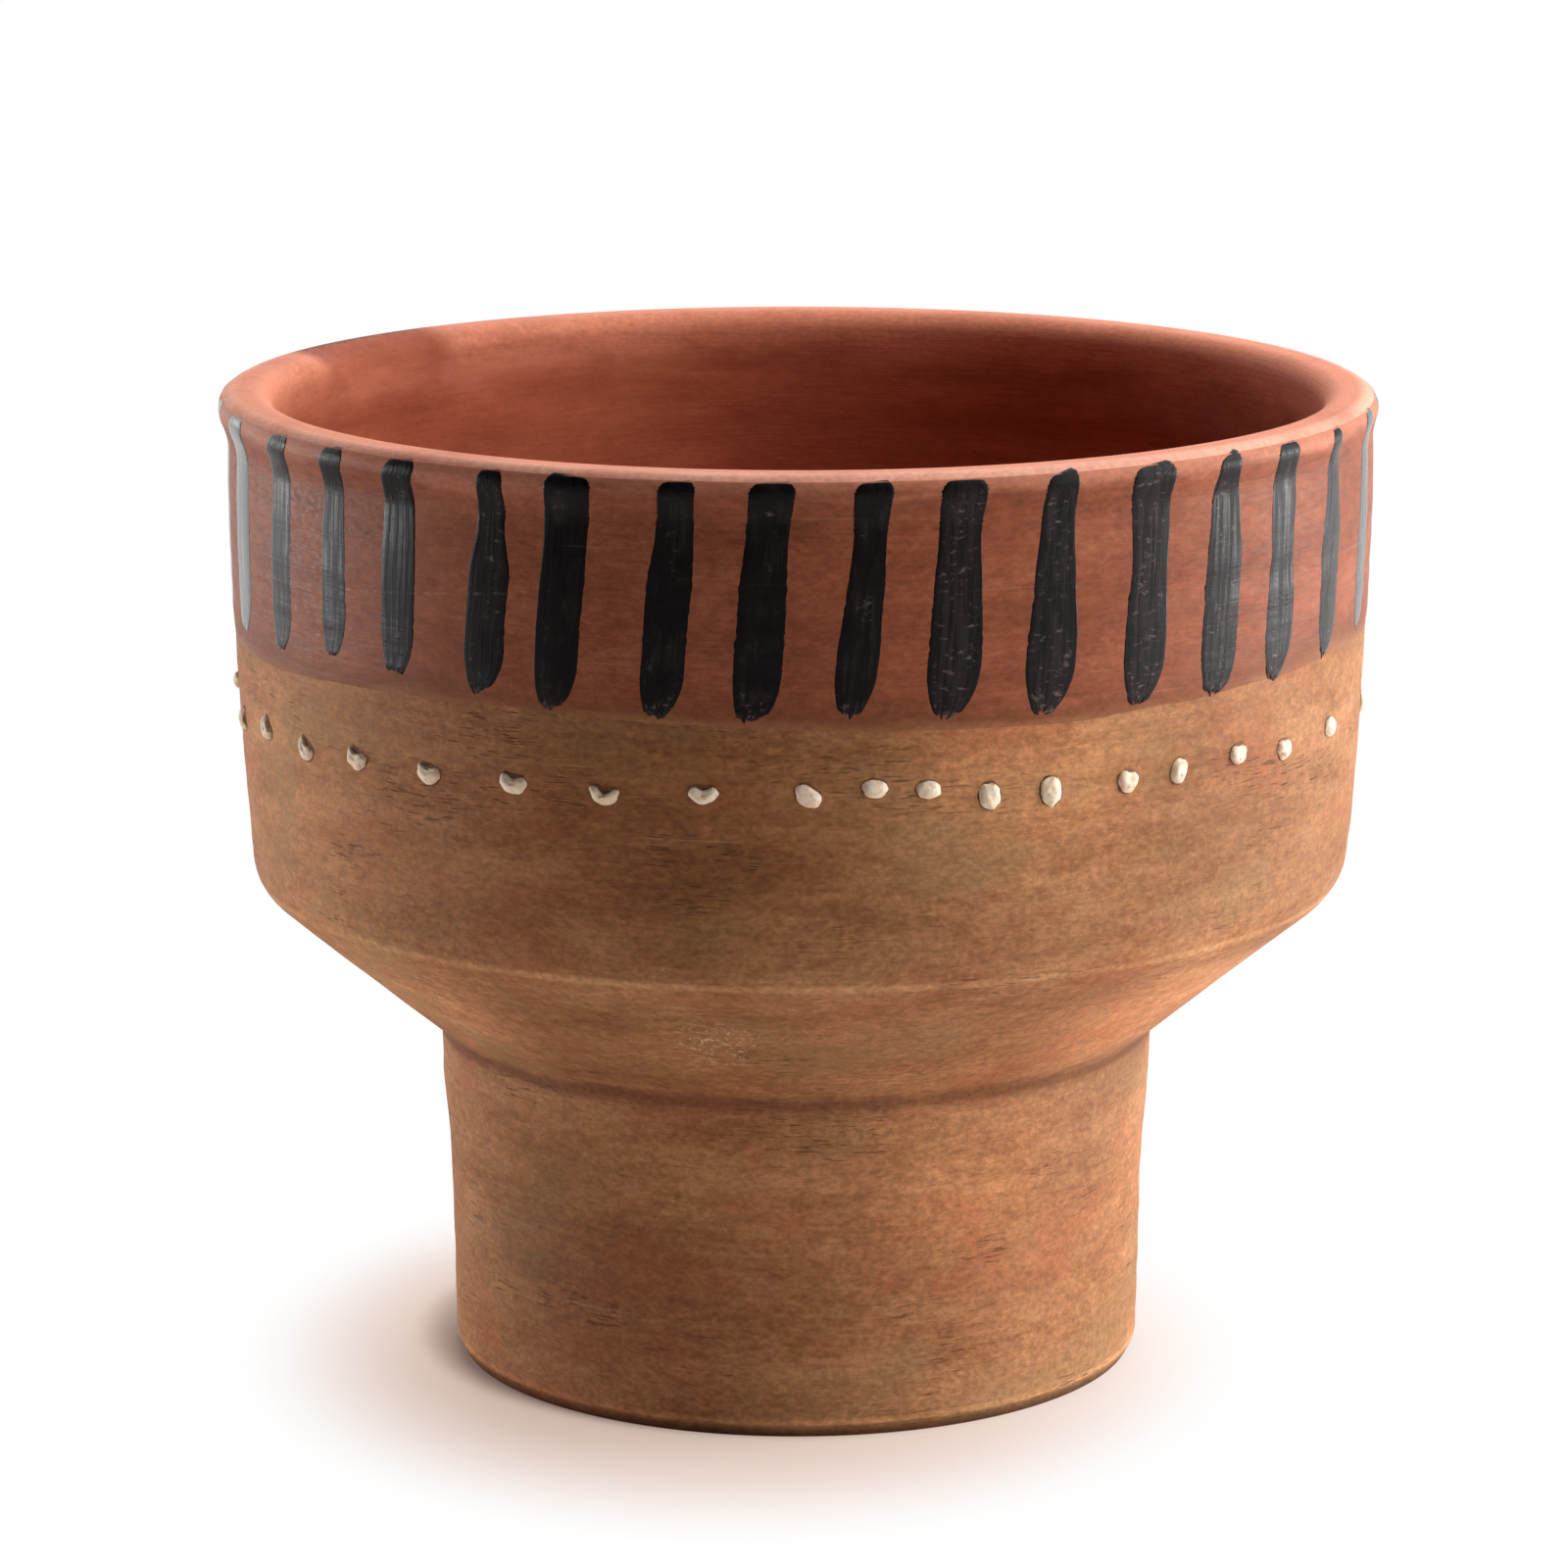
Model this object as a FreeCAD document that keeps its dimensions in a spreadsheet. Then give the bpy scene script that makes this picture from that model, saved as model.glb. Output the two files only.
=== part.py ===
import FreeCAD, Part
import math
import os
import Sketcher
from FreeCAD import Placement, Rotation, Vector

# Driving sizes in millimetres, taken on the bare clay

sizes = {
    # thrown foot
    "foot_height": 76.6,
    "foot_top_radius": 81.4,
    "foot_neck_inset": 0.3,
    "foot_neck_drop": 11.5,
    "foot_base_inset": 2.4,
    "foot_waist_drop": 30.5,
    "foot_waist_round": 60.0,
    "foot_bevel": 1.5,
    "foot_bevel_height": 4.0,
    "foot_wall": 10.0,
    # slip between foot and bowl
    "joint_thickness": 0.6,
    # thrown bowl
    "lip_radius": 129.7,
    "lip_overhang": 1.5,
    "lip_face": 6.0,
    "lip_flare": 5.2,
    "lip_round": 4.5,
    "lip_inner_round": 4.0,
    "wall_height": 110.0,
    "wall_thickness": 10.0,
    "swell_rise": 24.0,
    "swell_inset": 2.0,
    "corner_inset": 2.4,
    "corner_round": 5.0,
    "inner_corner_rise": 4.5,
    "inner_corner_round": 10.0,
    "cone_rise": 35.8,
    "floor_thickness": 11.0,
    "floor_edge_inset": 2.8,
    "floor_round": 10.0,
    "drain_radius": 8.0,
    # red-brown slip on the wall
    "coat": 0.3,
    "band_height": 53.5,
    # brush strokes on the band
    "stroke_film": 0.25,
    "stroke_width": 10.0,
    "stroke_length": 44.5,
    # white pellets under the band
    "pellet_drop": 14.9,
    "pellet_width": 6.0,
    "pellet_tall": 5.2,
    "pellet_proud": 1.3,
    "pellet_notch": 1.2,
    # how far helper shapes run past what they cut
    "overrun": 0.6,
}

# The front of the pot, left to right. Strokes: angle in degrees, then shares of the stroke
# width that give the lean, the top width, the middle width and the lift of the tip.

front_stroke_shares = [
    (-80.5, 0.10, 0.95, 0.95, 0.30), (-70.5, 0.30, 1.00, 1.00, 0.45), (-60.1, 0.45, 1.02, 1.00, 0.15),
    (-50.1, 0.30, 0.80, 0.90, 0.55), (-41.3, 0.45, 1.02, 0.94, 0.30), (-30.3, 0.30, 0.58, 1.05, 0.12),
    (-22.1, 0.35, 0.95, 1.11, 0.02), (-12.0, 0.40, 0.74, 0.99, 0.00), (-3.1, 0.45, 0.90, 0.98, 0.00),
    (5.7, 0.42, 0.81, 0.85, 0.06), (14.8, 0.25, 0.96, 1.09, 0.00), (24.7, 0.22, 0.78, 1.00, 0.04),
    (34.8, 0.25, 1.06, 1.06, -0.10), (44.6, 0.28, 0.69, 1.15, -0.04), (54.0, 0.38, 0.70, 0.91, 0.00),
    (65.3, 0.40, 0.55, 0.95, 0.00), (75.0, 0.30, 0.80, 1.00, 0.10), (85.0, 0.25, 0.95, 0.98, 0.05),
]
stroke_count = 37
stroke_sway = 1.2
strip_angle = 16

# Pellets: angle in degrees, then shares of the width, the tall size and the notch, and a
# lift as a share of the tall size.

front_pellet_shares = [
    (-77.2, 0.90, 0.95, 0.60, -0.35), (-66.7, 0.95, 0.95, 0.80, -0.15), (-57.1, 1.00, 1.00, 0.90, -0.25),
    (-48.0, 1.05, 1.00, 1.00, 0.00), (-37.9, 1.05, 0.95, 1.00, 0.00), (-28.0, 1.10, 0.95, 1.00, 0.08),
    (-18.5, 1.10, 0.95, 1.10, 0.00), (-8.9, 1.05, 0.95, 1.10, 0.20), (0.9, 0.95, 0.95, 0.45, 0.15),
    (7.1, 0.95, 0.90, 0.35, 0.40), (12.2, 0.90, 0.90, 0.35, 0.30), (18.2, 0.82, 1.15, 0.30, -0.08),
    (24.4, 0.85, 1.15, 0.30, -0.10), (33.2, 0.90, 1.05, 0.50, -0.04), (39.3, 0.75, 1.15, 0.35, 0.05),
    (47.7, 0.90, 0.95, 0.60, 0.25), (55.7, 0.85, 0.95, 0.60, -0.08), (65.5, 0.90, 0.90, 0.50, 0.05),
    (82.9, 0.95, 1.00, 0.45, -0.30),
]
pellet_count = 40
pellet_sway = 0.9

# A stroke is widest at one share of its length and starts its point at another

middle_share = 0.45
taper_share = 0.13
taper_width_share = 0.94

# A pellet's outline, as shares of its width and height from its middle, but for the notch

shoulder_shares = (0.50, 0.12)
crown_shares = (0.30, 0.50)
cheek_shares = (0.34, 0.30)
pellet_draft = 25

doc = FreeCAD.newDocument("Planter")
sheet = doc.addObject("Spreadsheet::Sheet", "Sizes")
for row, (alias, number) in enumerate(sizes.items(), 1):
    sheet.set(f"A{row}", alias)
    sheet.set(f"B{row}", str(number))
    sheet.setAlias(f"B{row}", alias)
doc.recompute()


class Size:
    # A value together with the sheet formula that gives it

    def __init__(self, value, formula):
        self.value = value
        self.formula = formula

    def combined(self, other, sign, work):
        if not isinstance(other, Size):
            other = Size(other, repr(float(other)))
        return Size(work(self.value, other.value), f"({self.formula} {sign} {other.formula})")

    def __add__(self, other):
        return self.combined(other, "+", lambda a, b: a + b)

    def __sub__(self, other):
        return self.combined(other, "-", lambda a, b: a - b)

    def __mul__(self, other):
        return self.combined(other, "*", lambda a, b: a * b)

    def __truediv__(self, other):
        return self.combined(other, "/", lambda a, b: a / b)

    def __neg__(self):
        return zero - self


def size(alias):
    return Size(float(getattr(sheet, alias)), f"Sizes.{alias}")


def bind(target, name, length):
    target.setExpression(name, length.formula)


zero = Size(0.0, "0")

# Heights and radii that several pieces share

foot_top = size("foot_top_radius")
foot_base = foot_top - size("foot_base_inset")
foot_inner = foot_base - size("foot_wall")
bowl_bottom = size("foot_height") + size("joint_thickness")
corner_height = bowl_bottom + size("cone_rise")
swell_height = corner_height + size("swell_rise")
rim_height = corner_height + size("wall_height")
face_height = rim_height - size("lip_face")
flare_height = face_height - size("lip_flare")
band_bottom = rim_height - size("band_height")
pellet_height = band_bottom - size("pellet_drop")

lip_radius = size("lip_radius")
wall_radius = lip_radius - size("lip_overhang")
swell_radius = wall_radius - size("swell_inset")
corner_radius = swell_radius - size("corner_inset")
coat = size("coat")


def wall_radius_at(height):
    # Radius of the straight upper wall at a height between the swell and the flare
    return swell_radius + size("swell_inset") * (height - swell_height) / (flare_height - swell_height)


def facing(angle):
    # A piece made along +X is turned to face an angle seen from the front, right of -Y
    return Placement(Vector(), Rotation(Vector(0, 0, 1), angle - 90))


# Sketches and turned bodies


def new_sketch(body, name, role):
    sketch = body.newObject("Sketcher::SketchObject", name)
    plane = next(item for item in body.Origin.OriginFeatures if item.Role == role)
    sketch.AttachmentSupport = [(plane, "")]
    sketch.MapMode = "FlatFace"
    return sketch


def place_point(sketch, item, point, across, along):
    for kind, length in (("DistanceX", across), ("DistanceY", along)):
        index = sketch.addConstraint(Sketcher.Constraint(kind, -1, 1, item, point, length.value))
        bind(sketch, f"Constraints[{index}]", length)


def draw_corner(sketch, before, after, spot, ways, corner):
    # The arc between two sides, tangent to both, with its corner kept as a mark
    across, along, rounding = corner
    turn = math.atan2(ways[0].cross(ways[1]).z, ways[0].dot(ways[1]))
    side = math.copysign(1, turn)
    entry = spot - ways[0] * (rounding.value * math.tan(abs(turn) / 2))
    centre = entry + Vector(-ways[0].y, ways[0].x, 0) * (side * rounding.value)
    first = math.atan2(entry.y - centre.y, entry.x - centre.x)
    low, high = sorted((0, turn))
    circle = Part.Circle(centre, Vector(0, 0, 1), rounding.value)
    arc = sketch.addGeometry(Part.ArcOfCircle(circle, first + low, first + high))
    mark = sketch.addGeometry(Part.Point(spot), True)
    near, far = (1, 2) if side > 0 else (2, 1)
    sketch.addConstraint(Sketcher.Constraint("Tangent", before, 2, arc, near))
    sketch.addConstraint(Sketcher.Constraint("Tangent", arc, far, after, 1))
    sketch.addConstraint(Sketcher.Constraint("PointOnObject", mark, 1, before))
    sketch.addConstraint(Sketcher.Constraint("PointOnObject", mark, 1, after))
    index = sketch.addConstraint(Sketcher.Constraint("Radius", arc, rounding.value))
    bind(sketch, f"Constraints[{index}]", rounding)
    place_point(sketch, mark, 1, across, along)


def draw_outline(sketch, corners):
    # Closed outline through (across, along, rounding) corners; None leaves a corner sharp
    spots = [Vector(across.value, along.value, 0) for across, along, rounding in corners]
    ways = [(spots[i] - spots[i - 1]).normalize() for i in range(len(spots))]
    ways = ways[1:] + ways[:1]
    cuts = [rounding.value * math.tan(ways[i - 1].getAngle(ways[i]) / 2) if rounding else 0
            for i, (across, along, rounding) in enumerate(corners)]
    sides = []
    for i, spot in enumerate(spots):
        ahead = (i + 1) % len(spots)
        line = Part.LineSegment(spot + ways[i] * cuts[i], spots[ahead] - ways[i] * cuts[ahead])
        sides.append(sketch.addGeometry(line))
    for i, corner in enumerate(corners):
        if corner[2]:
            draw_corner(sketch, sides[i - 1], sides[i], spots[i], (ways[i - 1], ways[i]), corner)
        else:
            sketch.addConstraint(Sketcher.Constraint("Coincident", sides[i - 1], 2, sides[i], 1))
            place_point(sketch, sides[i], 1, corner[0], corner[1])


def turned_body(name, corners, angle=360):
    body = doc.addObject("PartDesign::Body", name)
    sketch = new_sketch(body, f"{name}_profile", "XZ_Plane")
    draw_outline(sketch, corners)
    turn = body.newObject("PartDesign::Revolution", f"{name}_turn")
    turn.Profile = sketch
    turn.ReferenceAxis = (sketch, ["V_Axis"])
    turn.Angle = angle
    turn.Midplane = angle < 360
    return body


# Foot, slip joint and bowl

foot = turned_body("foot", [
    (foot_base - size("foot_bevel"), zero, None),
    (foot_base, size("foot_bevel_height"), None),
    (foot_base, size("foot_height") - size("foot_waist_drop"), size("foot_waist_round")),
    (foot_top - size("foot_neck_inset"), size("foot_height") - size("foot_neck_drop"), None),
    (foot_top, size("foot_height"), None),
    (foot_inner, size("foot_height"), None),
    (foot_inner, zero, None),
])

slip_joint = turned_body("slip_joint", [
    (foot_inner, size("foot_height"), None),
    (foot_top, size("foot_height"), None),
    (foot_top, bowl_bottom, None),
    (foot_inner, bowl_bottom, None),
])

wall = size("wall_thickness")
floor_top = bowl_bottom + size("floor_thickness")

bowl = turned_body("bowl", [
    (foot_top, bowl_bottom, None),
    (corner_radius, corner_height, size("corner_round")),
    (swell_radius, swell_height, None),
    (wall_radius, flare_height, None),
    (lip_radius, face_height, None),
    (lip_radius, rim_height, size("lip_round")),
    (wall_radius - wall, rim_height, size("lip_inner_round")),
    (corner_radius - wall, corner_height + size("inner_corner_rise"), size("inner_corner_round")),
    (foot_top - size("floor_edge_inset"), floor_top, size("floor_round")),
    (size("drain_radius"), floor_top, None),
    (size("drain_radius"), bowl_bottom, None),
])

# Band of red-brown slip, from part way up the wall to the rounding of the lip


def up_the_band(grown):
    return [
        (wall_radius_at(band_bottom) + grown, band_bottom, None),
        (wall_radius + grown, flare_height, None),
        (lip_radius + grown, face_height, None),
    ]


coat_top = rim_height - size("lip_round")

slip_band = turned_body("slip_band", [
    *up_the_band(coat),
    (lip_radius + coat, coat_top, None),
    (lip_radius, coat_top, None),
    *up_the_band(zero)[::-1],
])

# What goes round the pot in a row


def full_ring(front, count, sway):
    # The front as seen, then the back in the same shapes, taken in another order
    spread = count - len(front)
    gap = (360 + front[0][0] - front[-1][0]) / (spread + 1)
    back = []
    for step in range(spread):
        angle = front[-1][0] + gap * (step + 1) + sway * math.sin(step * step)
        back.append((angle, *front[(7 * step + 3) % len(front)][1:]))
    return front + back


# Brush strokes: upright blades cut out of a thin film on the band


def stroke_outline(lean_share, top_share, widest_share, lift_share):
    width = size("stroke_width")
    low = face_height - size("stroke_length") + width * lift_share
    middle = low + (face_height - low) * middle_share
    taper = low + (face_height - low) * taper_share
    lean = width * lean_share / 2
    half_top = width * top_share / 2
    half_middle = width * widest_share / 2
    half_taper = half_middle * taper_width_share
    return [
        (lean + half_top, face_height, None),
        (lean - half_top, face_height, None),
        (-half_middle, middle, None),
        (-lean - half_taper, taper, None),
        (-lean, low, None),
        (-lean + half_taper, taper, None),
        (half_middle, middle, None),
    ]


film = turned_body("film", up_the_band(coat + size("stroke_film")) + up_the_band(coat)[::-1], strip_angle)
strokes = []
for index, (angle, *shares) in enumerate(full_ring(front_stroke_shares, stroke_count, stroke_sway), 1):
    blade = doc.addObject("PartDesign::Body", f"blade_{index:02d}")
    outline = new_sketch(blade, f"blade_outline_{index:02d}", "YZ_Plane")
    draw_outline(outline, stroke_outline(*shares))
    pad = blade.newObject("PartDesign::Pad", f"blade_pad_{index:02d}")
    pad.Profile = outline
    bind(pad, "Length", lip_radius + coat + size("stroke_film") + size("overrun"))
    stroke = doc.addObject("Part::Common", f"stroke_{index:02d}")
    stroke.Base = film
    stroke.Tool = blade
    stroke.Placement = facing(angle)
    strokes.append(stroke)

brush_strokes = doc.addObject("Part::Compound", "brush_strokes")
brush_strokes.Links = strokes

# White pellets: pinched lumps, each with a notch on top, pressed onto the bare wall below


def pellet_outline(width_share, tall_share, notch_share, lift_share):
    width = size("pellet_width") * width_share
    tall = size("pellet_tall") * tall_share
    middle = pellet_height + size("pellet_tall") * lift_share
    right = [
        (width * cheek_shares[0], middle - tall * cheek_shares[1], None),
        (width * shoulder_shares[0], middle + tall * shoulder_shares[1], None),
        (width * crown_shares[0], middle + tall * crown_shares[1], None),
    ]
    left = [(-across, along, None) for across, along, rounding in reversed(right)]
    notch = (zero, middle + tall / 2 - size("pellet_notch") * notch_share, None)
    return [(zero, middle - tall / 2, None), *right, notch, *left]


def pellet_zone():
    # The space outside the wall in which the pellets stand
    low = pellet_height - size("pellet_tall") - size("overrun")
    high = pellet_height + size("pellet_tall") + size("overrun")
    reach = size("pellet_proud") + size("overrun")
    return turned_body("pellet_zone", [
        (wall_radius_at(low), low, None),
        (wall_radius_at(low) + reach, low, None),
        (wall_radius_at(high) + reach, high, None),
        (wall_radius_at(high), high, None),
    ], strip_angle)


zone = pellet_zone()
pellets = []
for index, (angle, *shares) in enumerate(full_ring(front_pellet_shares, pellet_count, pellet_sway), 1):
    lump = doc.addObject("PartDesign::Body", f"lump_{index:02d}")
    outline = new_sketch(lump, f"lump_outline_{index:02d}", "YZ_Plane")
    bind(outline, "AttachmentOffset.Base.z", wall_radius_at(pellet_height) - size("overrun"))
    draw_outline(outline, pellet_outline(*shares))
    pad = lump.newObject("PartDesign::Pad", f"lump_pad_{index:02d}")
    pad.Profile = outline
    bind(pad, "Length", size("pellet_proud") + size("overrun"))
    pad.TaperAngle = -pellet_draft
    pellet = doc.addObject("Part::Common", f"white_pellet_{index:02d}")
    pellet.Base = zone
    pellet.Tool = lump
    pellet.Placement = facing(angle)
    pellets.append(pellet)

# Check and write each piece

doc.recompute()
faults = [item.Name for item in doc.Objects if {"Invalid", "Error"} & set(item.State)]
if faults:
    raise RuntimeError(f"features that failed: {faults}")

os.makedirs("parts", exist_ok=True)
for piece in [foot, slip_joint, bowl, slip_band, brush_strokes, *pellets]:
    shape = piece.Shape
    wanted = stroke_count if piece is brush_strokes else 1
    if shape.isNull() or not shape.isValid() or len(shape.Solids) != wanted:
        raise RuntimeError(f"{piece.Label} has {len(shape.Solids)} solids or a bad shape")
    shape.exportStep(f"parts/{piece.Label}.step")
    print(f"{piece.Label}: {shape.Volume / 1000:.3f} cubic centimetres")
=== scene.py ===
import bisect
import math
import bmesh
import bpy
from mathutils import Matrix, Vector, noise


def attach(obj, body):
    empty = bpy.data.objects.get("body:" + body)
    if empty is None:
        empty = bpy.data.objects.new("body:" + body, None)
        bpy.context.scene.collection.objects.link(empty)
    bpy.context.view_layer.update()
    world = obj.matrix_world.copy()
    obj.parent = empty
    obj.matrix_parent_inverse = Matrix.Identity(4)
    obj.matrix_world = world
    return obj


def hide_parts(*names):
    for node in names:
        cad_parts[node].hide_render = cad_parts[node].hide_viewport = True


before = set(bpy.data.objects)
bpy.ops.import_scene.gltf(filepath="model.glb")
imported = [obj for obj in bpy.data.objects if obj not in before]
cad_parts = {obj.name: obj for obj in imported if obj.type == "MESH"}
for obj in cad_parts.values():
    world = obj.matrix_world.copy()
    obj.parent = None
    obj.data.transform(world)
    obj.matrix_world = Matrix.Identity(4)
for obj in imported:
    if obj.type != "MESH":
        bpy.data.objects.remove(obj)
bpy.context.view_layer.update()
mm = 0.001
print("frame loaded:", len(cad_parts), "nodes")


# Node helpers. Each adds its nodes to the tree that was begun last.

desk = {"tree": None}


def fill(node, inputs):
    for key, value in inputs.items():
        if isinstance(value, bpy.types.NodeSocket):
            node.id_data.links.new(value, node.inputs[key])
        else:
            node.inputs[key].default_value = value


def put(kind, inputs=None, **settings):
    made = desk["tree"].nodes.new(kind)
    for key, value in settings.items():
        setattr(made, key, value)
    fill(made, inputs or {})
    return made


def sums(operation, first, second=0.0):
    return put("ShaderNodeMath", {0: first, 1: second}, operation=operation).outputs[0]


def times(first, second):
    return sums("MULTIPLY", first, second)


def nudged(value, pattern, reach):  # a pattern, centred on nought, added to a value
    return sums("ADD", value, times(sums("SUBTRACT", pattern, 0.5), reach))


def mixed(factor, first, second):
    return put("ShaderNodeMix", {0: factor, 6: first, 7: second}, data_type="RGBA").outputs[2]


def tinted(factor, colour, tint):
    return mixed(factor, colour, (*tint, 1))


def partOf(vector, axis):
    return put("ShaderNodeSeparateXYZ", {0: vector}).outputs[axis]


def vectorSum(operation, first, second=None, output=0):
    inputs = {0: first} if second is None else {0: first, 1: second}
    return put("ShaderNodeVectorMath", inputs, operation=operation).outputs[output]


def awayFrom(where, place):  # distance from a place that is given in millimetres
    return vectorSum("DISTANCE", where, [c * mm for c in place], "Value")


def stretched(vector, scale, shift=(0, 0, 0)):
    return put("ShaderNodeMapping", {"Vector": vector, "Scale": scale, "Location": shift}).outputs[0]


def cloud(vector, scale, detail=3.0, roughness=0.55, distortion=0.0):
    inputs = {"Vector": vector, "Scale": scale, "Detail": detail, "Roughness": roughness, "Distortion": distortion}
    return put("ShaderNodeTexNoise", inputs).outputs[0]


def window(value, low, high, outLow=0.0, outHigh=1.0):  # smooth step between two values
    inputs = {"Value": value, "From Min": low, "From Max": high, "To Min": outLow, "To Max": outHigh}
    return put("ShaderNodeMapRange", inputs, interpolation_type="SMOOTHSTEP").outputs[0]


def shaded(colour, value):  # a colour made lighter or darker by a factor
    return put("ShaderNodeVectorMath", {0: colour, "Scale": value}, operation="SCALE").outputs[0]


def blended(parts):  # weighted sum of several patterns
    total = None
    for value, weight in parts:
        term = times(value, weight)
        total = term if total is None else sums("ADD", total, term)
    return total


def zones(level, stops):
    # A factor that changes with height: (height in mm, factor)
    low, high = stops[0][0] * mm, stops[-1][0] * mm
    share = put("ShaderNodeMapRange", {"Value": level, "From Min": low, "From Max": high}).outputs[0]
    greys = [((at * mm - low) / (high - low), (factor / 2,) * 3) for at, factor in stops]
    return times(ramp(share, greys), 2.0)


def ramp(value, stops):
    made = put("ShaderNodeValToRGB", {0: value})
    band = made.color_ramp
    while len(band.elements) < len(stops):
        band.elements.new(0.5)
    for element, (position, colour) in zip(band.elements, stops):
        element.position = position
        element.color = (*colour, 1.0)
    return made.outputs[0]


def newGroup(name):
    group = bpy.data.node_groups.new(name, "ShaderNodeTree")
    desk["tree"] = group
    group.interface.new_socket("Vector", in_out="INPUT", socket_type="NodeSocketVector")
    return group, put("NodeGroupInput").outputs["Vector"]


def closeGroup(group, patterns):
    for label in patterns:
        group.interface.new_socket(label, in_out="OUTPUT", socket_type="NodeSocketFloat")
    put("NodeGroupOutput", patterns)
    return group


def newMaterial(name):
    material = bpy.data.materials.new(name)
    material.use_nodes = True
    desk["tree"] = material.node_tree
    return material, material.node_tree.nodes["Principled BSDF"], put("ShaderNodeTexCoord").outputs["Object"]


# Marks that the wheel leaves: everything runs level round the pot, so each pattern is long
# across and short in height

wheelScales = {"streaks": (21, 21, 98), "lines": (55, 55, 950), "dashes": (190, 190, 1900),
               "patches": (26, 26, 70), "scores": (17, 17, 1500)}


def wheelMarks():
    s = wheelScales
    group, vector = newGroup("wheelMarks")
    streaks = cloud(stretched(vector, s["streaks"]), 1.0, 5.0, 0.62, 0.3)
    lines = cloud(stretched(vector, s["lines"]), 1.0, 3.0, 0.7, 0.2)
    dashes = cloud(stretched(vector, s["dashes"], (0.3, 0.1, 0.7)), 1.0, 2.0, 0.5, 0.1)
    patches = cloud(stretched(vector, s["patches"], (0.9, 0.4, 0.2)), 1.0, 2.0)
    scratches = times(window(dashes, 0.58, 0.72), window(patches, 0.50, 0.66))
    long = cloud(stretched(vector, s["scores"], (0.5, 0.6, 0.2)), 1.0, 1.0, 0.4, 0.05)
    scores = times(window(long, 0.70, 0.80), window(patches, 0.46, 0.60))
    return closeGroup(group, {"Streaks": streaks, "Lines": lines, "Scratches": scratches, "Scores": scores})


# Unevenness of the clay itself: soft blotches, mottling, sandy grain, pits and pale specks

clayScales = {"blotches": (30, 30, 72), "mottle": (245, 245, 490), "grain": (640, 640, 920),
              "dots": (1, 1, 1.5), "dotsPerMetre": 420.0}


def clayBody():
    s = clayScales
    group, vector = newGroup("clayBody")
    blotches = cloud(stretched(vector, s["blotches"]), 1.0, 5.0, 0.62, 0.4)
    mottle = cloud(stretched(vector, s["mottle"]), 1.0, 5.0, 0.76, 0.2)
    grain = cloud(stretched(vector, s["grain"]), 1.0, 2.0, 0.6)
    squeezed = stretched(vector, s["dots"])
    dots = put("ShaderNodeTexVoronoi", {"Vector": squeezed, "Scale": s["dotsPerMetre"]}).outputs
    rare = put("ShaderNodeSeparateColor", {0: dots["Color"]}).outputs
    ragged = sums("MULTIPLY_ADD", grain, 0.25)
    spot = sums("ADD", dots["Distance"], ragged)
    pits = times(window(spot, 0.36, 0.22), window(rare[0], 0.90, 0.97))
    specks = times(window(spot, 0.33, 0.20), window(rare[1], 0.955, 0.985))
    return closeGroup(group, {"Blotches": blotches, "Mottle": mottle, "Grain": grain,
                              "Pits": pits, "Specks": specks})


marksGroup = wheelMarks()
bodyGroup = clayBody()


def surfaceOf(where):
    return [put("ShaderNodeGroup", {0: where}, node_tree=group).outputs for group in (marksGroup, bodyGroup)]


def relief(shader, parts, depth):
    # parts: (value, share of the depth), added up into one height
    bump = put("ShaderNodeBump", {"Height": blended(parts), "Strength": 1.0, "Distance": depth})
    fill(shader, {"Normal": bump.outputs[0]})


def between(value, up, down):  # a mask that rises and falls again
    return times(window(value, *up), window(value, *down))


def mottled(colour, clay, mottle, grain):
    colour = shaded(colour, window(clay["Mottle"], 0.34, 0.66, 1 - mottle, 1 + mottle))
    return shaded(colour, window(clay["Grain"], 0.30, 0.70, 1 - grain, 1 + grain))


def dressed(shader, colour, grain, look):
    roughness = window(grain, 0.3, 0.7, *look["roughness"])
    fill(shader, {"Base Color": colour, "Roughness": roughness, "Specular IOR Level": look["specular"]})


# In the looks below, a pair of numbers is where a mask starts and where it is full: in metres for a
# height, a radius or a distance, and otherwise in parts of one. Roughness goes from smooth to rough.

# Bare red clay: rubbed pale on the lip, deeper inside and on the hidden faces

bareLook = {
    "deep": (0.275, 0.060, 0.027),
    "plain": (0.352, 0.086, 0.041),
    "warm": (0.445, 0.120, 0.059),
    "lip": (0.69, 0.240, 0.140),
    "lipDeep": (0.56, 0.178, 0.098),
    "lipEdge": (0.84, 0.42, 0.305),
    "chip": (0.86, 0.60, 0.46),
    "dark": (0.070, 0.018, 0.011),
    "paleRise": (0.2060, 0.2225), "paleWaver": 0.008,
    "dentSide": (-0.829, 0.559, 0.0),  # towards the place where the rim was leant on
    "dentTurn": (0.972, 0.988), "dentRise": (0.2110, 0.2180), "dentOutline": 0.8,
    "edgeRadius": (0.1250, 0.1275), "edgeRise": (0.2170, 0.2190), "edgeWear": (0.35, 0.85),
    "chipRadius": (0.1275, 0.1290), "chipRise": (0.2120, 0.2150), "chipSize": (0.63, 0.66), "chips": 0.6,
    "roughness": (0.60, 0.76), "specular": 0.12,
    "relief": 0.00030,
}


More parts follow.
